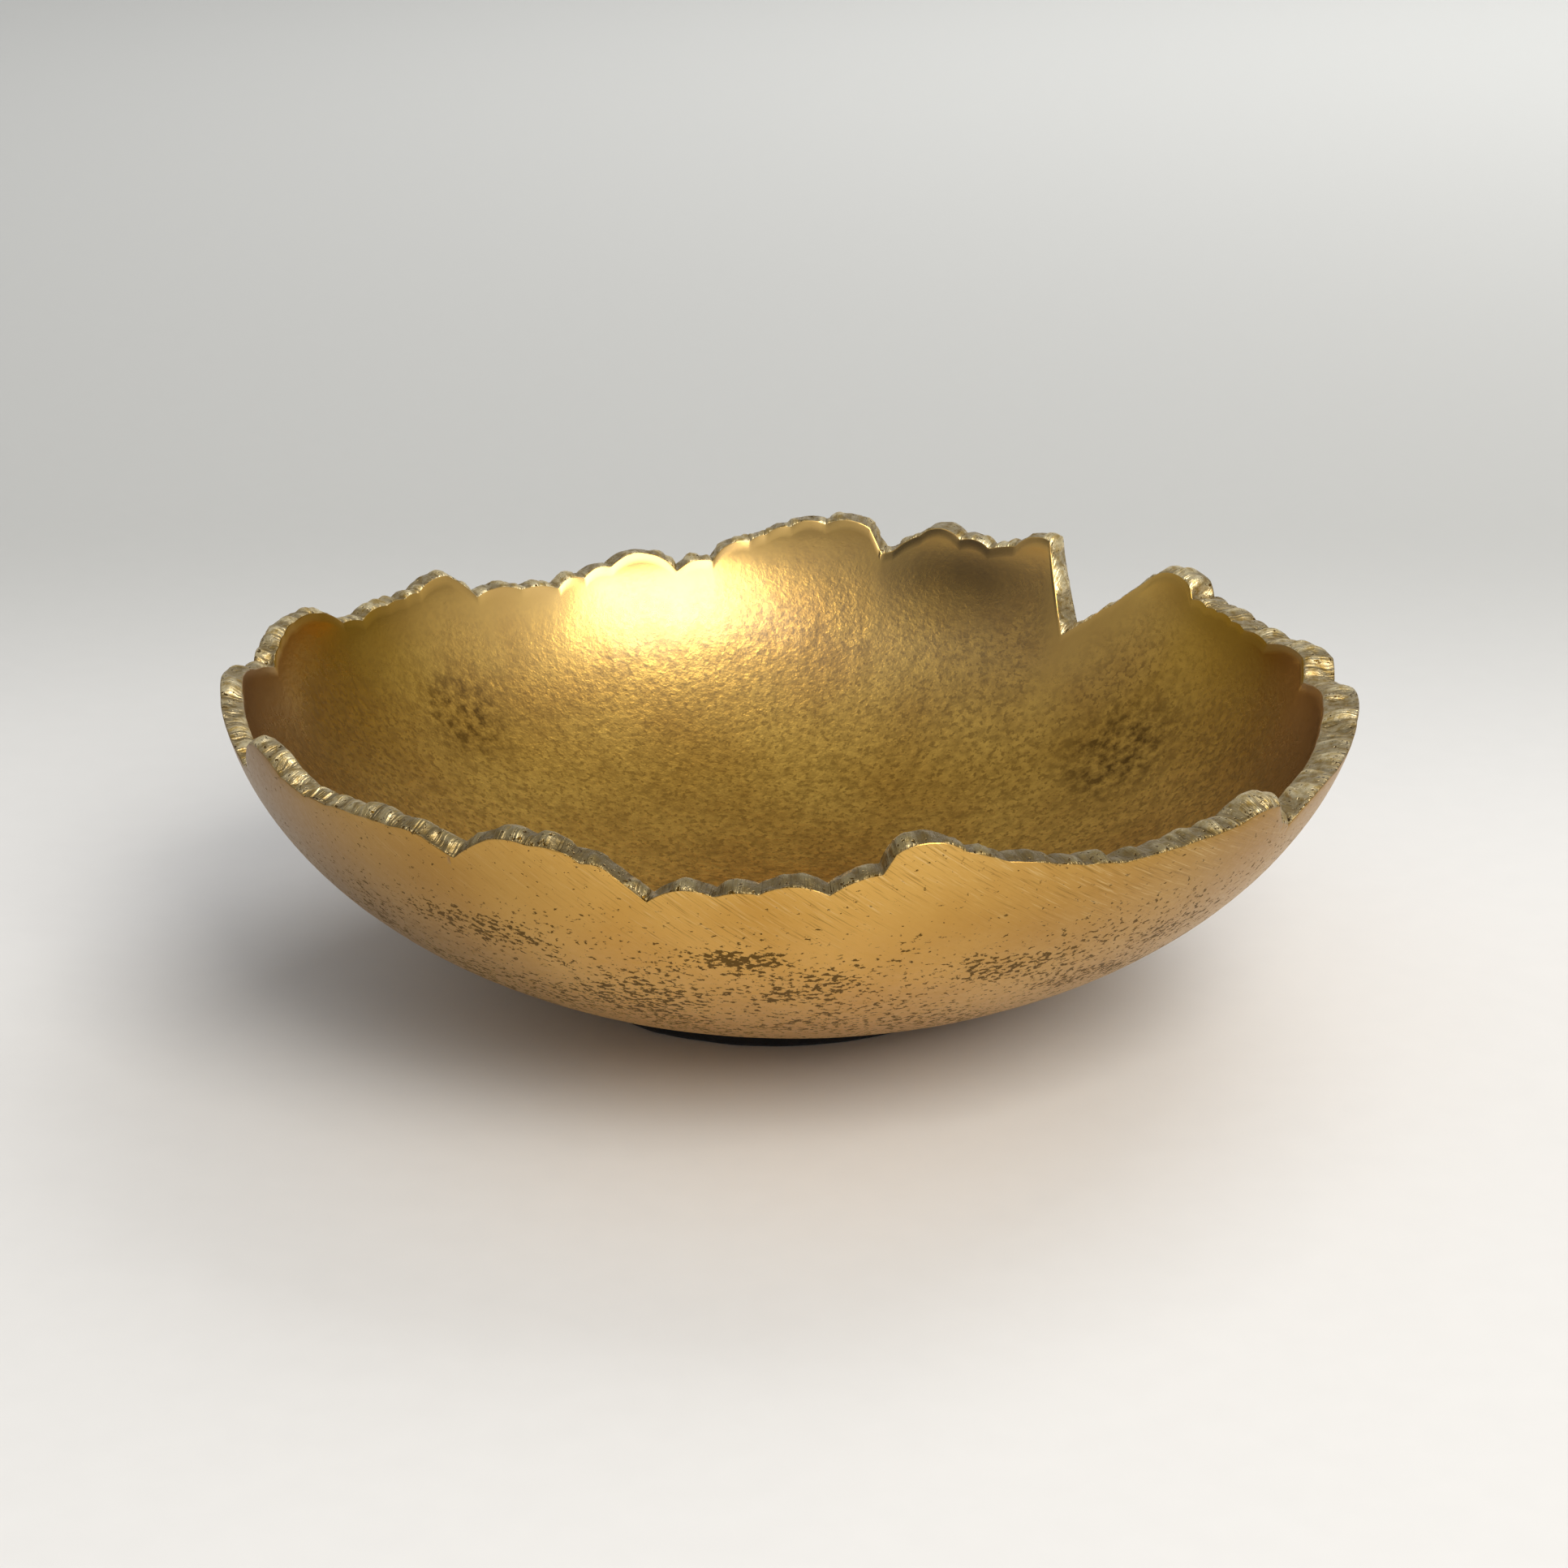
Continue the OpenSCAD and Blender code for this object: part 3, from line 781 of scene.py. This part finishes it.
def cast_hollow_brass(finish):
    """Sand-cast brass inside the bowl, buffed and lacquered: mottled gold, smooth along the lip."""
    material, tree, place = new_material("cast_brass_mottled")
    x, y, z = add(tree, "ShaderNodeSeparateXYZ", {0: place}, None)
    below = add(tree, "ShaderNodeAttribute", out="Fac", attribute_name="below_rim")
    clouds = add(tree, "ShaderNodeTexNoise", {"Vector": place, "Scale": 1 / 0.04, "Detail": 4.0})
    clouds = add(tree, "ShaderNodeMapRange", {0: clouds, 1: 0.35, 2: 0.65})
    colour = add(
        tree, "ShaderNodeMix", {0: clouds, 6: finish.hollow_brass, 7: linear("#C19440")}, 2, data_type="RGBA"
    )
    # mottles of 2.5 mm, which fade out towards the buffed lip, and two browner patches of painted dark
    # reflection
    mottle = add(
        tree, "ShaderNodeTexNoise", {"Vector": place, "Scale": 1 / 0.0032, "Detail": 5.0, "Roughness": 0.62}
    )
    from_lip = add(tree, "ShaderNodeMapRange", {0: below, 1: 0.003, 2: 0.03})
    dark_reflections = 0.0
    for spot, size in (((-0.094, 0.076, 0.048), 0.034), ((0.094, 0.062, 0.041), 0.042)):
        near = add(tree, "ShaderNodeVectorMath", {0: place, 1: spot}, "Value", operation="DISTANCE")
        near = add(
            tree, "ShaderNodeMapRange",
            {0: near, 1: 0.004, 2: size, 3: 1.0, 4: 0.0}, interpolation_type="SMOOTHSTEP",
        )
        dark_reflections = add(tree, "ShaderNodeMath", {0: near, 1: dark_reflections}, operation="MAXIMUM")
    stain_and_reflection = add(tree, "ShaderNodeMapRange", {0: mottle, 1: 0.4, 2: 0.66, 3: 0.0, 4: 0.54})
    stain_and_reflection = add(tree, "ShaderNodeMath", {0: stain_and_reflection, 1: from_lip}, operation="MULTIPLY")
    reflection_blotch = add(tree, "ShaderNodeMapRange", {0: mottle, 1: 0.38, 2: 0.62, 3: 0.25, 4: 1.0})
    reflection_blotch = add(tree, "ShaderNodeMath", {0: reflection_blotch, 1: dark_reflections}, operation="MULTIPLY")
    stain_and_reflection = add(tree, "ShaderNodeMath", {0: stain_and_reflection, 1: reflection_blotch}, operation="MAXIMUM")
    # glossy lacquer left on the back of the wall only
    upper = add(tree, "ShaderNodeMapRange", {0: z, 1: 0.025, 2: 0.055})
    lacquer = add(tree, "ShaderNodeMapRange", {0: y, 1: 0.075, 2: 0.12, 3: 0.0, 4: 1.0})
    lacquer = add(tree, "ShaderNodeMath", {0: lacquer, 1: upper}, operation="MULTIPLY")
    # brown specks of 1 mm, and painted shade: darker, deeper amber below the lip at both ends, where light
    # bounces between the walls
    specks = add(
        tree, "ShaderNodeTexNoise", {"Vector": place, "Scale": 1 / 0.0017, "Detail": 3.0, "Roughness": 0.6}
    )
    specks = add(tree, "ShaderNodeMapRange", {0: specks, 1: 0.5, 2: 0.6, 3: 0.0, 4: 0.6})
    specks = add(tree, "ShaderNodeMath", {0: specks, 1: from_lip}, operation="MULTIPLY")
    stain_and_reflection = add(tree, "ShaderNodeMath", {0: stain_and_reflection, 1: specks}, operation="MAXIMUM")
    end_shade = add(tree, "ShaderNodeMath", {0: x}, operation="ABSOLUTE")
    end_shade = add(tree, "ShaderNodeMapRange", {0: end_shade, 1: 0.104, 2: 0.132, 3: 0.0, 4: 1.0})
    colour = add(tree, "ShaderNodeMix", {0: end_shade, 6: colour, 7: linear("#966B04")}, 2, data_type="RGBA")
    colour = add(tree, "ShaderNodeMix", {0: stain_and_reflection, 6: colour, 7: finish.tarnish_and_shade}, 2, data_type="RGBA")
    grain = add(
        tree, "ShaderNodeTexNoise", {"Vector": place, "Scale": 1 / 0.0016, "Detail": 3.0, "Roughness": 0.6}
    )
    grain_height = add(tree, "ShaderNodeMath", {0: grain, 1: from_lip}, operation="MULTIPLY")
    mottle_height = add(tree, "ShaderNodeMath", {0: mottle, 1: from_lip}, operation="MULTIPLY")
    roughness = add(tree, "ShaderNodeMapRange", {0: from_lip, 1: 0.0, 2: 1.0, 3: 0.17, 4: 0.31})
    roughness = add(tree, "ShaderNodeMath", {0: stain_and_reflection, 1: 0.2, 2: roughness}, operation="MULTIPLY_ADD")
    relief = (0.35, 0.0004, grain_height, False), (0.35, 0.0007, mottle_height, False)
    coat = {"Coat_Weight": lacquer, "Coat_Roughness": 0.28, "Coat_IOR": 1.7}
    return finished(material, colour, roughness, relief, Metallic=1.0, **coat)


def needled_felt(finish):
    """Needled wool felt: dull black, with a soft nap that catches a little light."""
    material, tree, place = new_material("wool_felt_black")
    nap = add(
        tree, "ShaderNodeTexNoise", {"Vector": place, "Scale": 1 / 0.0012, "Detail": 6.0, "Roughness": 0.7}
    )
    worn = add(tree, "ShaderNodeMix", {0: nap, 6: finish.felt, 7: linear("#1A191A")}, 2, data_type="RGBA")
    rough = add(tree, "ShaderNodeMapRange", {0: nap, 1: 0.0, 2: 1.0, 3: 0.88, 4: 1.0})
    relief = [(0.8, 0.0006, nap, False)]
    return finished(material, worn, rough, relief, Sheen_Weight=0.1, Sheen_Roughness=0.5)


def acrylic_film(finish):
    """Acrylic transfer film: milky, slightly wavy and satin."""
    material, tree, place = new_material("acrylic_film_milky")
    waves = add(tree, "ShaderNodeTexNoise", {"Vector": place, "Scale": 1 / 0.006, "Detail": 2.0})
    tint = add(tree, "ShaderNodeMix", {0: waves, 6: finish.film, 7: linear("#C9C4B4")}, 2, data_type="RGBA")
    rough = add(tree, "ShaderNodeMapRange", {0: waves, 1: 0.3, 2: 0.7, 3: 0.3, 4: 0.5})
    return finished(material, tint, rough, [(0.3, 0.0002, waves, False)], IOR=1.48)


def matt_paper(studio):
    """Heavy matt paper: near white, with a faint tooth, shaded behind the bowl."""
    material, tree, place = new_material("matt_paper")
    y = add(tree, "ShaderNodeSeparateXYZ", {0: place}, "Y")
    far = add(tree, "ShaderNodeMapRange", {0: y, 1: 0.0, 2: 0.5}, interpolation_type="SMOOTHSTEP")
    tooth = add(tree, "ShaderNodeTexNoise", {"Vector": place, "Scale": 1 / 0.01, "Detail": 4.0})
    shade = add(tree, "ShaderNodeMix", {0: far, 6: studio.paper, 7: studio.far_paper}, 2, data_type="RGBA")
    mottled = add(tree, "ShaderNodeMapRange", {0: tooth, 1: 0.3, 2: 0.7, 3: 0.985, 4: 1.0})
    shade = add(tree, "ShaderNodeVectorMath", {0: shade, "Scale": mottled}, operation="SCALE")
    rough = add(tree, "ShaderNodeMapRange", {0: tooth, 1: 0.3, 2: 0.7, 3: 0.85, 4: 0.95})
    return finished(material, shade, rough, [(0.1, 0.0002, tooth, False)])


# ------------------------ the operators


class TORNBOWL_OT_studio(bpy.types.Operator):
    """Sets up the camera, the floor and the lights"""

    bl_idname = "tornbowl.studio"
    bl_label = "Studio"

    def execute(self, context):
        studio = context.scene.torn_bowl_studio
        scene = context.scene
        aim = Vector(studio.aim)
        back = Vector((0, -math.cos(studio.camera_height), math.sin(studio.camera_height)))
        lens = bpy.data.cameras.new("camera")
        lens.sensor_width = 36
        lens.lens = studio.lens
        camera = bpy.data.objects.new("camera", lens)
        camera.location = aim + back * studio.camera_distance
        camera.rotation_euler = back.to_track_quat("Z", "Y").to_euler()
        scene.collection.objects.link(camera)
        scene.camera = camera

        # a round floor whose far edge curves up all round
        profile = [(0.4 * i, 0.0) for i in range(8)]
        profile += [(2.8 + 1.3 * math.sin(a), 1.3 * (1 - math.cos(a))) for a in np.linspace(0.05, 1.35, 14)]
        sides = 96
        turns = [2 * math.pi * k / sides for k in range(sides)]
        work = bmesh.new()
        rings = []
        for radius, height in profile[1:]:
            places = [(radius * math.cos(a), radius * math.sin(a), height) for a in turns]
            rings.append([work.verts.new(place) for place in places])
        middle = work.verts.new((0, 0, 0))
        for k in range(sides):
            n = (k + 1) % sides
            work.faces.new([middle, rings[0][k], rings[0][n]])
            for low, high in zip(rings[:-1], rings[1:]):
                work.faces.new([low[k], high[k], high[n], low[n]])
        mesh = bpy.data.meshes.new("studio_floor")
        work.to_mesh(mesh)
        work.free()
        mesh.shade_smooth()
        mesh.materials.append(matt_paper(studio))
        floor = bpy.data.objects.new("studio_floor", mesh)
        scene.collection.objects.link(floor)

        away, up = math.cos(studio.window_height), math.sin(studio.window_height)
        window = Vector((away * math.cos(studio.window_side), away * math.sin(studio.window_side), up))
        lights = [
            ("window_light", window * 2.3, (1.35, 1.45), studio.window_power, linear("#FFF9EF")),
            ("far_floor_light", Vector((1.1, 2.2, 1.8)), (2.4, 1.6), studio.far_power, linear("#FFFFFF")),
        ]
        for name, place, (width, height), power, colour in lights:
            lamp = bpy.data.lights.new(name, "AREA")
            lamp.shape = "RECTANGLE"
            lamp.size, lamp.size_y = width, height
            lamp.energy = power
            lamp.color = colour[:3]
            light = bpy.data.objects.new(name, lamp)
            light.location = place
            light.visible_glossy = name == "window_light"
            looks_at = Vector((0, 0, 0.04)) if light.visible_glossy else Vector((0.8, 2.4, 0))
            light.rotation_euler = (place - looks_at).to_track_quat("Z", "Y").to_euler()
            scene.collection.objects.link(light)

        world = bpy.data.worlds.new("room")
        world.use_nodes = True
        room = world.node_tree
        room.nodes.clear()
        towards = add(room, "ShaderNodeTexCoord", out="Generated")
        level = studio.room
        # lighter round the window, at the back left and low at the back, and darker at the front left
        for way, strength, power in (
            (tuple(window), studio.glow, 3.0),
            ((-0.52, -0.68, 0.52), -0.46, 14.0),
            ((-0.75, 0.43, 0.5), 0.12, 6.0),
            ((0.1, 0.93, 0.36), 0.4, 24.0),
        ):
            facing = add(room, "ShaderNodeVectorMath", {0: towards, 1: way}, "Value", operation="DOT_PRODUCT")
            facing = add(room, "ShaderNodeMath", {0: facing, 1: 0.0}, operation="MAXIMUM")
            facing = add(room, "ShaderNodeMath", {0: facing, 1: power}, operation="POWER")
            level = add(room, "ShaderNodeMath", {0: facing, 1: strength, 2: level}, operation="MULTIPLY_ADD")
        level = add(room, "ShaderNodeMath", {0: level, 1: 0.03}, operation="MAXIMUM")
        even = add(room, "ShaderNodeBackground", {"Color": linear("#F6F7F9"), "Strength": level})
        add(room, "ShaderNodeOutputWorld", {"Surface": even}, None)
        scene.world = world
        scene.view_settings.view_transform = "Standard"
        return {"FINISHED"}


class TORNBOWL_OT_casting(bpy.types.Operator):
    """Makes the brass bowl from the torn rim of its CAD casting"""

    bl_idname = "tornbowl.casting"
    bl_label = "Brass Casting"

    def execute(self, context):
        shape, finish = context.scene.torn_bowl_shape, context.scene.torn_bowl_finish
        sheet, rim_length = bowl_sheet(shape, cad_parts["bowl_casting"])
        finishes = cast_wall_brass(finish), torn_rim_brass(finish), cast_hollow_brass(finish)
        tree, sizes = casting_tree(shape, rim_length, finishes)
        bowl = new_piece("brass_bowl", grown("brass_bowl", sheet, tree, sizes))
        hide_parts("bowl_casting")
        return {"FINISHED"}


class TORNBOWL_OT_pad(bpy.types.Operator):
    """Makes the felt pad, soft at its edges and slightly ragged round its side"""

    bl_idname = "tornbowl.pad"
    bl_label = "Felt Pad"

    def execute(self, context):
        finish = context.scene.torn_bowl_finish
        low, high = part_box("felt_pad")
        middle, radius, thickness = (low + high) / 2, (high - low).x / 2, (high - low).z
        steps, ups = 240, 9
        verts, faces = [], []
        noise = np.random.default_rng(11)
        ragged = smooth_round(noise.normal(size=steps), 2.0)
        ragged *= 0.0002 / ragged.std()
        for i in range(ups):
            share = i / (ups - 1)
            soft = 0.0007 * (1 - math.sqrt(max(0.0, 1 - (2 * share - 1) ** 4)))
            for k in range(steps):
                a = 2 * math.pi * k / steps
                r = radius - 0.0004 - soft + ragged[k]
                verts.append((middle.x + r * math.cos(a), middle.y + r * math.sin(a), thickness * share))
        for i in range(ups - 1):
            for k in range(steps):
                n = (k + 1) % steps
                faces.append((i * steps + k, i * steps + n, (i + 1) * steps + n, (i + 1) * steps + k))
        under, over = len(verts), len(verts) + 1
        verts += [(middle.x, middle.y, 0.0), (middle.x, middle.y, thickness)]
        top = (ups - 1) * steps
        for k in range(steps):
            n = (k + 1) % steps
            faces += [(under, n, k), (over, top + k, top + n)]
        mesh = bpy.data.meshes.new("felt_pad_soft")
        mesh.from_pydata(verts, [], faces)
        mesh.shade_smooth()
        mesh.materials.append(needled_felt(finish))
        pad = new_piece("felt_pad_soft", mesh)
        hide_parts("felt_pad")
        return {"FINISHED"}


class TORNBOWL_OT_film(bpy.types.Operator):
    """Gives the adhesive film its finish"""

    bl_idname = "tornbowl.film"
    bl_label = "Adhesive Film"

    def execute(self, context):
        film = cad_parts["pad_adhesive"]
        film.data.materials.clear()
        film.data.materials.append(acrylic_film(context.scene.torn_bowl_finish))
        return {"FINISHED"}


class TORNBOWL_PT_panel(bpy.types.Panel):
    """Lists the bowl's pieces and their settings"""

    bl_idname = "TORNBOWL_PT_panel"
    bl_label = "Torn Rim Bowl"
    bl_space_type = "VIEW_3D"
    bl_region_type = "UI"
    bl_category = "Torn Rim Bowl"

    def draw(self, context):
        layout = self.layout
        for operator in OPERATORS:
            layout.operator(operator.bl_idname)
        for group in SETTINGS:
            box = layout.box()
            settings = getattr(context.scene, group)
            for name in settings.__annotations__:
                box.prop(settings, name)


SETTINGS = {
    "torn_bowl_shape": TornBowlShape,
    "torn_bowl_finish": TornBowlFinish,
    "torn_bowl_studio": TornBowlStudio,
}
OPERATORS = (TORNBOWL_OT_studio, TORNBOWL_OT_casting, TORNBOWL_OT_pad, TORNBOWL_OT_film)


def register():
    for kind in (*SETTINGS.values(), *OPERATORS, TORNBOWL_PT_panel):
        bpy.utils.register_class(kind)
    for name, kind in SETTINGS.items():
        setattr(bpy.types.Scene, name, bpy.props.PointerProperty(type=kind))


def unregister():
    for name in SETTINGS:
        delattr(bpy.types.Scene, name)
    for kind in (TORNBOWL_PT_panel, *reversed(OPERATORS), *reversed(SETTINGS.values())):
        bpy.utils.unregister_class(kind)


def main():
    register()
    bpy.ops.tornbowl.studio()
    bpy.ops.tornbowl.casting()
    bpy.ops.tornbowl.pad()
    bpy.ops.tornbowl.film()


if __name__ == "__main__":
    main()
